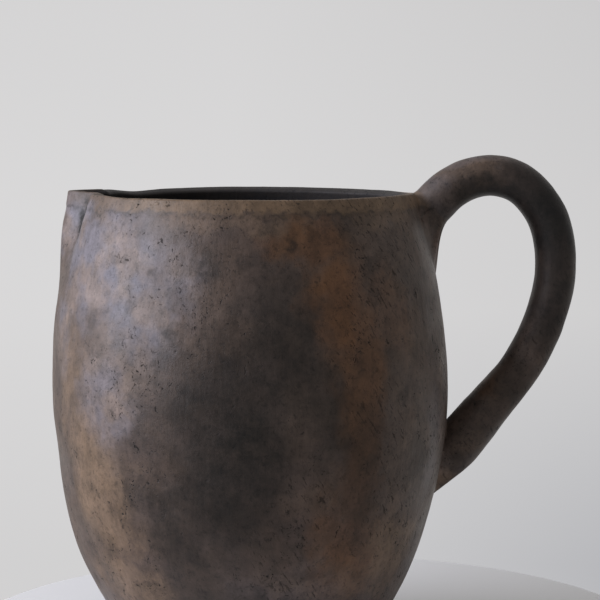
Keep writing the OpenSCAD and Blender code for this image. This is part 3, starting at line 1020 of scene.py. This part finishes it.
def pits(tree, place, cell, radius, chance, crowd):
    """Small round pits: about one in each cell, kept by chance and where they crowd."""
    node = partial(add, tree)
    away = node("TexVoronoi", {"Vector": place, "Scale": 1 / cell}, out="Distance")
    lot = node("SeparateColor", away.node.outputs["Color"])
    wide = node("MapRange", lot.node.outputs[1], 0.0, 1.0, 0.5 * radius / cell, radius / cell)
    near = node("Math DIVIDE", away, wide)
    hole = node("MapRange", near, 1.0, 0.65)
    kept = node("MapRange", lot, 1 - chance, 1.03 - chance)
    pit = node("Math MULTIPLY", hole, kept)
    return node("Math MULTIPLY", pit, crowd)


def new_material(name):
    """A material, its node tree and its shader."""
    material = bpy.data.materials.new(name)
    material.use_nodes = True
    return material, material.node_tree, material.node_tree.nodes["Principled BSDF"]


def wandering(tree, place):
    """The place moved about as the smoke drifted: in a fine shiver alone, and widely as well."""
    node = partial(add, tree)
    drifts = []
    for size, detail, reach in ((24 * MM, 3.0, 34 * MM), (5 * MM, 2.0, 8 * MM)):
        drift = node("TexNoise", place, None, 1 / size, detail, 0.6, out="Color")
        drift = node("VectorMath ADD", drift, (-0.5, -0.5, -0.5))
        drifts.append(node("VectorMath SCALE", drift, {"Scale": reach}))
    settled = node("VectorMath ADD", place, drifts[1])
    return settled, node("VectorMath ADD", settled, drifts[0])


def rim_highlight_band(tree, clay, colour, place, settled, rim_height, near_wall):
    """A painted highlight along the lip, with a dark line under it.

    The band fades at the beak, and away from the wall.
    """
    node = partial(add, tree)
    height = node("SeparateXYZ", settled, out="Z")
    band = node("MapRange", height, rim_height - 2.2 * MM, rim_height + 0.2 * MM)
    from_beak = node("MapRange", node("SeparateXYZ", place), -68 * MM, -48 * MM, 0.1, 0.75)
    for limit in (from_beak, near_wall):
        band = node("Math MULTIPLY", band, limit)
    # The painted highlight along the lip.
    colour = node("Mix", {0: band, 6: colour, 7: clay.rim_highlight_colour}, **COLOUR_MIX)
    edge = node("MapRange", height, rim_height - 3 * MM, rim_height - 1.6 * MM)
    above = node("MapRange", height, rim_height - 0.2 * MM, rim_height - 1.6 * MM)
    worn = clouds(tree, place, 6 * MM, 0.4, 0.6, 0.15, 0.55)
    for limit in (above, worn):
        edge = node("Math MULTIPLY", edge, limit)
    return node("Mix", {0: edge, 6: colour, 7: clay.smoke_and_shade_colour}, **COLOUR_MIX)


def grit_pits(tree, place, moved, bare):
    """Pits of burnt-out grit, in clusters that the polishing drew out upright.

    Gives the pits, the dark haze round each cluster, and the fine jitter of their places. They
    are fewest where the clay isn't bare of smoke.
    """
    node = partial(add, tree)
    zone = clouds(tree, place, 34 * MM, 0.4, 0.58, 0.25, 1.0, detail=2.0)
    drawn = node("VectorMath MULTIPLY", moved, (1, 1, 0.55))
    cluster = node("TexNoise", drawn, None, 1 / (7 * MM), 3.0, 0.6)
    crowd = node("MapRange", cluster, 0.5, 0.57, 0.1, 1.0)
    for limit in (zone, bare):
        crowd = node("Math MULTIPLY", crowd, limit)
    haze = node("Math MULTIPLY", node("MapRange", cluster, 0.5, 0.68, 0.0, 0.3), zone)
    jitter = node("TexNoise", place, None, 1 / (1.1 * MM), 2.0, 0.6, out="Color")
    jitter = node("VectorMath SCALE", jitter, {"Scale": 0.9 * MM})
    drawn = node("VectorMath MULTIPLY", moved, (1, 1, 0.62))
    drawn = node("VectorMath ADD", drawn, jitter)
    pitting = node("Attribute", out="Fac", attribute_name="pore")
    for cell, radius, chance in ((1.5 * MM, 0.58 * MM, 0.65), (3.2 * MM, 0.95 * MM, 0.6)):
        pitting = node("Math MAXIMUM", pitting, pits(tree, drawn, cell, radius, chance, crowd))
    return pitting, haze, jitter


def drag_marks(tree, place, jitter, bare, strength):
    """Slanting marks where grit was pulled along under the polishing stone.

    Most of them are on the handle's side, and fewest where the clay isn't bare of smoke.
    """
    node = partial(add, tree)
    level = node("SeparateXYZ", place, out="Z")
    lean = node("CombineXYZ", level, level, 0.0)
    lean = node("VectorMath SCALE", lean, {"Scale": 0.45})
    drawn = node("VectorMath MULTIPLY", place, (1, 1, 0.3))
    for shift in (lean, jitter):
        drawn = node("VectorMath ADD", drawn, shift)
    drag = clouds(tree, drawn, 1.25 * MM, 0.6, 0.66, 0.0, 0.7 * strength, detail=2.0)
    by_handle = node("MapRange", node("SeparateXYZ", place), -50 * MM, 20 * MM, 0.35, 1.0)
    for limit in (clouds(tree, place, 24 * MM, 0.44, 0.56), by_handle, bare):
        drag = node("Math MULTIPLY", drag, limit)
    return drag


def burnish(tree, shader, place, polish, upright, hollow, inside):
    """The sheen and the fine relief: duller in the pits and inside, and grainy close up."""
    node = partial(add, tree)
    rough = clouds(tree, place, 16 * MM, 0.35, 0.65, polish - 0.05, polish + 0.08, detail=4.0)
    for amount, share in ((hollow, 0.35), (inside, 0.2)):
        rough = node("Math MULTIPLY_ADD", amount, share, rough)
    tree.links.new(rough, shader.inputs["Roughness"])
    shader.inputs["Specular IOR Level"].default_value = 0.4
    grain = node("TexNoise", place, None, 1 / (1.1 * MM), 3.0, 0.7)
    relief = 0.0
    for amount, height in ((grain, 0.1 * MM), (upright, 0.12 * MM), (hollow, -0.1 * MM)):
        relief = node("Math MULTIPLY_ADD", amount, height, relief)
    normal = node("Bump", {"Strength": 1.0, "Distance": 1.0, "Height": relief}, out="Normal")
    tree.links.new(normal, shader.inputs["Normal"])


def fired_clay(name, clay, ground, smoke_and_shade_tint, marks, dull=0.0, pitted=1.0, rim_height=None,
               joint=False):
    """Burnished, smoke-fired clay.

    ground is its plain colour and smoke_and_shade_tint its blackest, for smoke and painted shade.
    marks are its ochre and tan blushes, ash blooms (some of them painted sheen of the lamp), smoke
    clouds (on the handle partly painted shade), and stains with painted shade in the beak's creases.
    dull takes the burnish off, and rim_height is where the painted highlight along the rim starts.
    The clay of a joint turns to the wall's colours where it runs out over the wall.
    """
    material, tree, shader = new_material(name)
    node = partial(add, tree)
    place = node("TexCoord", out="Object")

    settled, moved = wandering(tree, place)
    near_wall = 1.0
    if joint:
        near_wall = node("Attribute", out="Fac", attribute_name="near_wall")
        near_wall = node("MapRange", near_wall, 0.1, 0.75)
        ground = node("Mix", {0: near_wall, 6: ground, 7: clay.ground_colour}, **COLOUR_MIX)
        smoke_and_shade_tint = node("Mix", {0: near_wall, 6: smoke_and_shade_tint, 7: clay.smoke_and_shade_colour}, **COLOUR_MIX)
    shadow = clouds(tree, place, 42 * MM, 0.35, 0.65, detail=4.0)
    colour = node("Mix", {0: shadow, 6: ground, 7: clay.shadow_colour}, **COLOUR_MIX)
    # Ash blooms, with painted sheen of the lamp on the beak's side.
    thin_ash_and_sheen = clouds(tree, place, 15 * MM, 0.42, 0.6)
    ash = node("Mix", {0: thin_ash_and_sheen, 6: clay.ash_and_sheen_colour, 7: clay.thin_ash_and_sheen_colour}, **COLOUR_MIX)
    for kind, tint in zip(marks, (clay.ochre_colour, clay.tan_colour, ash)):
        colour = node("Mix", {0: patches(tree, moved, kind), 6: colour, 7: tint}, **COLOUR_MIX)
    if rim_height:
        # A painted highlight along the rim.
        colour = rim_highlight_band(tree, clay, colour, place, settled, rim_height, near_wall)
    smoke = stain_and_crease_shade = 0.0
    if marks:
        thin = clouds(tree, place, 9 * MM, 0.3, 0.6, 1.0, 0.72, detail=5.0, rough=0.75)
        # On the handle these smoke patches also paint shade.
        smoke = node("Math MULTIPLY", patches(tree, moved, marks[3]), thin)
        ragged = clouds(tree, place, 5 * MM, 0.38, 0.58, 0.35, 1.0, detail=5.0, rough=0.8)
        # Stains, and painted shade in the beak's creases.
        stain_and_crease_shade = node("Math MULTIPLY", patches(tree, settled, marks[4]), ragged)
        for amount in (smoke, stain_and_crease_shade):
            colour = node("Mix", {0: amount, 6: colour, 7: smoke_and_shade_tint}, **COLOUR_MIX)

    # Mottling, upright polishing strokes, and dark specks gathered in the low spots.
    tall = node("VectorMath MULTIPLY", place, (1, 1, 0.16))
    upright = node("TexNoise", tall, None, 1 / (2.2 * MM), 3.0, 0.6)
    shades = [clouds(tree, place, 11 * MM, 0.3, 0.7, 0.62, 1.38, detail=8.0, rough=0.78),
              node("MapRange", upright, 0.3, 0.7, 0.92, 1.08),
              clouds(tree, place, 2.4 * MM, 0.53, 0.66, 1.0, 0.6, detail=4.0, rough=0.8)]
    if joint:
        # The crests of the finger ridges get a painted highlight.
        crest_highlight = node("Attribute", out="Fac", attribute_name="crest_highlight")
        shades.append(node("MapRange", crest_highlight, 0.0, 1.3, 1.0, 2.1))

    # Smoke, and the handle's painted shade, hide the pits and the drag marks. Stains, and the painted
    # shade in the beak's creases, lie in a hollow of their own.
    bare = node("MapRange", smoke, 0.3, 0.8, 1.0, 0.3)
    pitting, haze, jitter = grit_pits(tree, place, moved, bare)
    shades.append(node("Math SUBTRACT", 1.0, haze))
    pitting = node("Math MULTIPLY", pitting, pitted)
    drag = drag_marks(tree, place, jitter, bare, pitted)
    sunk = node("Math MULTIPLY", stain_and_crease_shade, 0.6)
    hollow = node("Math MAXIMUM", node("Math MAXIMUM", pitting, drag), sunk)
    shades.append(node("MapRange", hollow, 0.0, 1.0, 1.0, 0.14))
    for shade in shades:
        colour = node("VectorMath SCALE", colour, {"Scale": shade})
    inside = node("Attribute", out="Fac", attribute_name="inside")
    sooty = node("Math MULTIPLY", inside, 0.9)
    colour = node("Mix", {0: sooty, 6: colour, 7: clay.soot_colour}, **COLOUR_MIX)
    tree.links.new(colour, shader.inputs["Base Color"])

    burnish(tree, shader, place, clay.polish + dull, upright, hollow, inside)
    return material


def wall_marks(wall, beak):
    """The wall's firing marks, kind by kind, with painted sheen among the ash blooms and painted shade
    among the stains.
    """
    kinds = (OCHRE_BLUSHES, TAN_BLUSHES, ASH_AND_SHEEN_BLOOMS, SMOKE_CLOUDS, STAINS_AND_CREASE_SHADE)
    return [on_wall(wall, beak, marks) for marks in kinds]


def handle_marks():
    """The handle's firing marks, kind by kind, with painted shade among the smoke."""
    kinds = (HANDLE_OCHRE, HANDLE_TAN, HANDLE_BLOOM, HANDLE_SMOKE_AND_SHADE, HANDLE_STAINS)
    return [on_handle(marks) for marks in kinds]


def painted_board():
    """Matt white paint: plain, with a faint grain so that it doesn't look like paper."""
    material, tree, shader = new_material("matt_white_paint")
    place = add(tree, "TexCoord", out="Object")
    drift = add(tree, "TexNoise", place, None, 1 / (60 * MM), 3.0)
    pale = add(tree, "Mix", {0: drift, 6: linear("#ebebed"), 7: linear("#f0f0f2")}, **COLOUR_MIX)
    tree.links.new(pale, shader.inputs["Base Color"])
    shader.inputs["Roughness"].default_value = 0.6
    grain = add(tree, "TexNoise", place, None, 1 / (2 * MM), 3.0)
    grain = add(tree, "Math MULTIPLY", grain, 0.04 * MM)
    normal = add(tree, "Bump", {"Strength": 1.0, "Distance": 1.0, "Height": grain}, out="Normal")
    tree.links.new(normal, shader.inputs["Normal"])
    return material


# ---------------------------------------------------------------- operators

class JUG_OT_raise_wall(Operator):
    """Raises the floor, the coiled wall, the rim and the beak"""

    bl_idname = "jug.raise_wall"
    bl_label = "Raise the Wall"

    def execute(self, context):
        wall, beak = context.scene.jug_wall, context.scene.jug_beak
        grid, normals, coats, mark = worked_wall(wall, beak, context.scene.jug_skin)
        half = round(beak.half_angle / (2 * math.pi) * wall.columns)
        middle = wall.columns // 2
        beak_columns = np.arange(middle - half, middle + half + 1)
        rest_columns = np.arange(middle + half, middle - half + wall.columns + 1) % wall.columns
        clay, marks = context.scene.jug_clay, wall_marks(wall, beak)
        # Brown burnished clay under drifting smoke clouds, with a soft sheen and crowds of pits.
        # Its ash blooms paint sheen on the lamp's side, its stains paint shade in the beak's creases,
        # and its rim band is a painted highlight.
        body = fired_clay("smoke_fired_burnished_clay", clay, clay.ground_colour, clay.smoke_and_shade_colour,
                          marks, rim_height=wall.rim_height - RIM_HIGHLIGHT_BAND)
        # The foot's clay, rubbed dull and a little lighter by use.
        worn = fired_clay("worn_unglazed_foot_clay", clay, clay.foot_colour, clay.smoke_and_shade_colour,
                          marks, dull=0.2)
        # Soot-dark clay inside, wiped and never burnished.
        sooty = fired_clay("wiped_sooty_inner_clay", clay, clay.soot_colour, clay.smoke_and_shade_colour, (),
                           dull=0.25)
        finishes = {"base_slab": worn, "base_seam_coil": sooty}
        for node, chain in body_chains(wall, mark, len(grid) - 1).items():
            columns = None
            if node in (COURSES[-1], "rim_coil"):
                columns = rest_columns
            elif node == "spout_beak":
                columns = beak_columns
            piece = cut_piece(f"clay_{node}", grid, normals, coats, chain, columns)
            finish_piece(piece, finishes.get(node, body), node)
        return {"FINISHED"}


class JUG_OT_roll_handle(Operator):
    """Rolls the handle's coil and presses its lower end to the wall"""

    bl_idname = "jug.roll_handle"
    bl_label = "Roll the Handle"

    def execute(self, context):
        handle = context.scene.jug_handle
        holder = coil_curve(handle)
        heel = (handle.foot_x + handle.heel_x, 0, handle.foot_z - handle.heel_drop)
        way = (math.sin(handle.bevel), 0, -math.cos(handle.bevel))
        # The same clay on the coil: nearly black on the outer bend, partly smoke and partly painted
        # shade on the side away from the lamp and under the top of the arch; browner at its ends.
        clay = context.scene.jug_clay
        coil_clay = fired_clay("rolled_burnished_handle_clay", clay, clay.handle_colour,
                               clay.handle_smoke_and_shade_colour, handle_marks(), pitted=0.7)
        mesh = run_tree(holder, rolled_coil_tree(), sides=handle.sides, ring_step=handle.step,
                        press_point=heel, press_way=way, press_softness=handle.softness,
                        dent_size=handle.dent_size, dent_depth=handle.dent_depth, clay=coil_clay)
        bpy.data.objects.remove(holder)
        points = vertex_rows(mesh.vertices, "co")
        wall = context.scene.jug_wall
        reach = np.hypot(points[:, 0], points[:, 1])
        # The buried ends stay inside the wall's thickness.
        inside = egg_radius(wall, np.minimum(points[:, 2], lip_height(wall))) - COIL_SUNK
        grow = np.maximum(1, inside / reach)
        points[:, :2] *= grow[:, None]
        mesh.vertices.foreach_set("co", points.astype(np.float32).ravel())
        mesh.update()
        mesh.shade_smooth()
        piece = bpy.data.objects.new("clay_handle_coil", mesh)
        context.scene.collection.objects.link(piece)
        finish_piece(piece, coil_clay, "handle_coil")
        return {"FINISHED"}


class JUG_OT_work_luting(Operator):
    """Works soft clay round both ends of the handle"""

    bl_idname = "jug.work_luting"
    bl_label = "Work the Luting"

    def execute(self, context):
        handle, luting = context.scene.jug_handle, context.scene.jug_luting
        wall, clay = context.scene.jug_wall, context.scene.jug_clay
        # The clay of the joints: wiped with wet fingers, so it is duller. Its colour runs from the
        # wall's to the coil's.
        on_body = wall_marks(wall, context.scene.jug_beak)
        marks = [body + coil for body, coil in zip(on_body, handle_marks())]
        # Its finger ridges' crests get a painted highlight, and its handle side the handle's painted
        # shade.
        wiped = fired_clay("finger_wiped_luting_clay", clay, clay.handle_colour,
                           clay.handle_smoke_and_shade_colour, marks, dull=0.04, pitted=0.6,
                           rim_height=wall.rim_height - RIM_HIGHLIGHT_BAND, joint=True)
        wall_skin = surface_of([f"clay_{node}" for node in (*COURSES[1:], "rim_coil")])
        coil = surface_of(["clay_handle_coil"])
        line = handle_line(handle)
        ways = np.diff(line, axis=0)
        headings = np.arctan2(ways[:, 1], ways[:, 0])

        def root_shape(a):
            under = max(0.0, -math.cos(a))
            over = max(0.0, math.cos(a))
            ridge = sum(height * MM * bump((abs(a - math.pi) - at) / width)
                        for height, at, width in FINGER_RIDGES)
            return (luting.spread * (1 - OVER_SPREAD * over) + luting.tail * under ** 2,
                    luting.reach * (1 - OVER_REACH * over) + UNDER_REACH * under, ridge)

        def foot_shape(a):
            return luting.foot_spread, luting.foot_spread, 0.0

        joints = (("root", len(line) - 1 - round(ROOT_RUN / LINE_STEP), -1, 1, root_shape),
                  ("foot", round((FOOT_EMBED + FOOT_RUN) / LINE_STEP), 0, -1, foot_shape))
        for end, at, heading, onward, shape in joints:
            tilt = headings[heading]
            way = onward * Vector((math.cos(tilt), 0, math.sin(tilt)))
            piece = worked_collar(f"clay_handle_{end}_luting", line[at], tilt, way, wall_skin, coil,
                                  shape)
            finish_piece(piece, wiped, f"handle_{end}_luting")
        return {"FINISHED"}


class JUG_OT_set_stage(Operator):
    """Sets the pale plinth, the soft lamps and the camera"""

    bl_idname = "jug.set_stage"
    bl_label = "Set the Stage"

    def execute(self, context):
        stage = context.scene.jug_stage
        make_plinth(stage)
        make_world()
        make_lamp()
        make_camera(stage)
        context.scene.view_settings.view_transform = "Standard"
        return {"FINISHED"}


def make_plinth(stage):
    """A pale round floor with a softly rounded edge, whose top is the jug's resting plane."""
    edge, depth, columns = 2 * MM, 25 * MM, 128
    inner = stage.plinth_radius - edge
    section = [(0, -depth), (stage.plinth_radius, -depth)]
    section += [(inner + edge * math.sin(a), edge * math.cos(a) - edge)
                for a in np.linspace(math.pi / 2, 0, 7)]
    section = np.array([*section, (0, 0)])[:, None]
    a = np.arange(columns) * 2 * math.pi / columns
    points = np.stack([section[..., 0] * np.cos(a) + stage.plinth_x,
                       section[..., 0] * np.sin(a) + stage.plinth_y,
                       section[..., 1] + 0 * a], axis=-1)
    plinth = plain_mesh("plinth", flat_points(points), grid_faces(len(section), columns))
    plinth.data.materials.append(painted_board())


def make_world():
    """A pale room seen by the camera, whose light comes mostly from behind the jug."""
    world = bpy.data.worlds.new("pale_room")
    bpy.context.scene.world = world
    world.use_nodes = True
    tree = world.node_tree
    tree.nodes.clear()
    node = partial(add, tree)
    split = node("SeparateXYZ", node("TexCoord", out="Generated"))
    aside, back, up = (split.node.outputs[axis] for axis in "XYZ")
    # The backdrop that the camera sees has a painted falloff of light: darker towards the handle's
    # side, and most of all low down there.
    right = node("MapRange", aside, 0.02, 0.2)
    low = node("MapRange", up, -0.1, -0.22)
    high = node("MapRange", up, -0.05, 0.05)
    corner = node("Math MULTIPLY", low, right)
    pale = 0.69
    for part, fall in ((right, 0.06), (high, 0.025), (low, 0.05), (corner, 0.1)):
        pale = node("Math MULTIPLY_ADD", part, -fall, pale)
    hue = node("Mix", {0: corner, 6: (1.0, 0.99, 0.995), 7: (0.985, 0.99, 1.03)}, **COLOUR_MIX)
    seen = node("Background", {"Color": hue, "Strength": pale})
    glow = node("MapRange", back, -0.3, 0.9, 0.27, 0.62, interpolation_type="SMOOTHSTEP")
    lit = node("Background", {"Color": (1.0, 0.98, 0.96), "Strength": glow})
    seen_directly = node("LightPath", out="Is Camera Ray")
    node("OutputWorld", node("MixShader", seen_directly, lit, seen))


# The window-like lamp: its place, where it points, its size, watts and slightly cool colour.
LAMP_PLACE = (-1.55, -0.4, 0.75)
LAMP_TARGET = (0, 0, 0.1)
LAMP_SIZE = (1.7, 1.5)
LAMP_POWER = 38
LAMP_COLOUR = (0.92, 0.94, 1.04)


def make_lamp():
    """One large window-like lamp on the beak's side."""
    data = bpy.data.lights.new("window_lamp", "AREA")
    data.shape = "RECTANGLE"
    data.size, data.size_y = LAMP_SIZE
    data.energy = LAMP_POWER
    data.color = LAMP_COLOUR
    lamp = bpy.data.objects.new("window_lamp", data)
    lamp.location = LAMP_PLACE
    lamp.rotation_euler = aim(LAMP_PLACE, LAMP_TARGET)
    bpy.context.scene.collection.objects.link(lamp)


def aim(place, target):
    """Rotation that points a lamp's -Z from a place to a target."""
    return (Vector(target) - Vector(place)).to_track_quat("-Z", "Y").to_euler()


def make_camera(stage):
    """The camera, level with the jug's upper half and looking a little down."""
    data = bpy.data.cameras.new("camera")
    data.lens = stage.lens
    data.sensor_width = 36
    data.dof.use_dof = False
    camera = bpy.data.objects.new("camera", data)
    back = (math.sin(stage.azimuth), -math.cos(stage.azimuth))
    right = (math.cos(stage.azimuth), math.sin(stage.azimuth))
    camera.location = (back[0] * stage.distance + right[0] * stage.aside,
                       back[1] * stage.distance + right[1] * stage.aside, stage.height)
    camera.rotation_euler = (math.pi / 2 - stage.pitch, 0, stage.azimuth)
    bpy.context.scene.collection.objects.link(camera)
    bpy.context.scene.camera = camera


# ---------------------------------------------------------------- add-on

class JUG_PT_panel(Panel):
    """Lists the steps that make the jug"""

    bl_idname = "JUG_PT_panel"
    bl_label = "Clay Jug"
    bl_space_type = "VIEW_3D"
    bl_region_type = "UI"
    bl_category = "Clay Jug"

    def draw(self, context):
        for settings in PANEL_ORDER:
            box = self.layout.box()
            group = getattr(context.scene, settings)
            for prop in SETTINGS[settings].__annotations__:
                box.prop(group, prop)
            if settings in STEP_AFTER:
                box.operator(STEP_AFTER[settings].bl_idname)


SETTINGS = {
    "jug_wall": JugWallSettings,
    "jug_beak": JugBeakSettings,
    "jug_skin": JugSkinSettings,
    "jug_handle": JugHandleSettings,
    "jug_luting": JugLutingSettings,
    "jug_clay": JugClaySettings,
    "jug_stage": JugStageSettings,
}
STEPS = (JUG_OT_raise_wall, JUG_OT_roll_handle, JUG_OT_work_luting, JUG_OT_set_stage)
PANEL_ORDER = ("jug_wall", "jug_beak", "jug_skin", "jug_clay", "jug_handle", "jug_luting", "jug_stage")
# The step whose button follows a group of settings.
STEP_AFTER = {
    "jug_clay": JUG_OT_raise_wall,
    "jug_handle": JUG_OT_roll_handle,
    "jug_luting": JUG_OT_work_luting,
    "jug_stage": JUG_OT_set_stage,
}


def register():
    for group in (*SETTINGS.values(), *STEPS, JUG_PT_panel):
        bpy.utils.register_class(group)
    for name, group in SETTINGS.items():
        setattr(bpy.types.Scene, name, PointerProperty(type=group))


def unregister():
    for name in SETTINGS:
        delattr(bpy.types.Scene, name)
    for group in reversed((*SETTINGS.values(), *STEPS, JUG_PT_panel)):
        bpy.utils.unregister_class(group)


def main():
    register()
    bpy.ops.jug.raise_wall()
    bpy.ops.jug.roll_handle()
    bpy.ops.jug.work_luting()
    bpy.ops.jug.set_stage()


if __name__ == "__main__":
    main()
